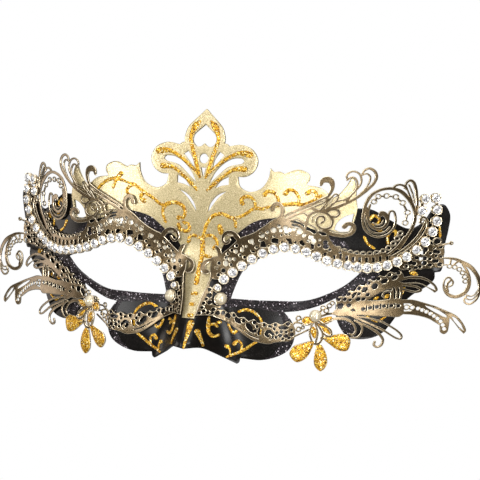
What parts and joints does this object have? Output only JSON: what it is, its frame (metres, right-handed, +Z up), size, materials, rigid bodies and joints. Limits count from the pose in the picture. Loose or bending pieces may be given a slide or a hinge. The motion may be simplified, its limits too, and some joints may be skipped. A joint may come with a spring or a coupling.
{
  "type": "venetian masquerade mask",
  "caption": "Moulded half mask with pierced crest, eye openings, pierced metal brow, cheek and temple ornaments, rhinestone rows, pearl rivets and glitter flowers.",
  "frame": {"origin": "on the midline at the level of the bridge of the nose, just behind the shell's front face, where the wearer's nose carries the mask", "axes": "+X to the viewer's right seen from the front, +Y from the mask towards the wearer's face, +Z up; the mask faces -Y"},
  "size_m": [0.2188, 0.0584, 0.1047],
  "materials": {
    "shell_lacquer": "pearl gold lacquer on the crest and nose ridge, gloss black on the wings, cheeks and lower edge",
    "antique_gold": "antique gold, satin, with brighter cut edges",
    "crystal": "clear faceted stones, foil backed, in metal cups",
    "pearl": "pale pearl gold, satin gloss",
    "glitter_gold": "coarse gold glitter"
  },
  "bodies": {
    "root": {"mask_shell": "shell_lacquer", "brow_filigree_left": "antique_gold", "brow_filigree_right": "antique_gold", "nose_lace_left": "antique_gold", "nose_lace_right": "antique_gold", "cheek_wing_left": "antique_gold", "cheek_wing_right": "antique_gold", "temple_scroll_left": "antique_gold", "temple_scroll_right": "antique_gold", "rhinestone_row_left": "crystal", "rhinestone_row_right": "crystal", "nose_gem_left": "crystal", "nose_gem_right": "crystal", "nose_stud_left": "pearl", "nose_stud_right": "pearl", "cheek_stud_left": "pearl", "cheek_stud_right": "pearl", "glitter_flower_left": "glitter_gold", "glitter_flower_right": "glitter_gold"}
  },
  "joints": []
}
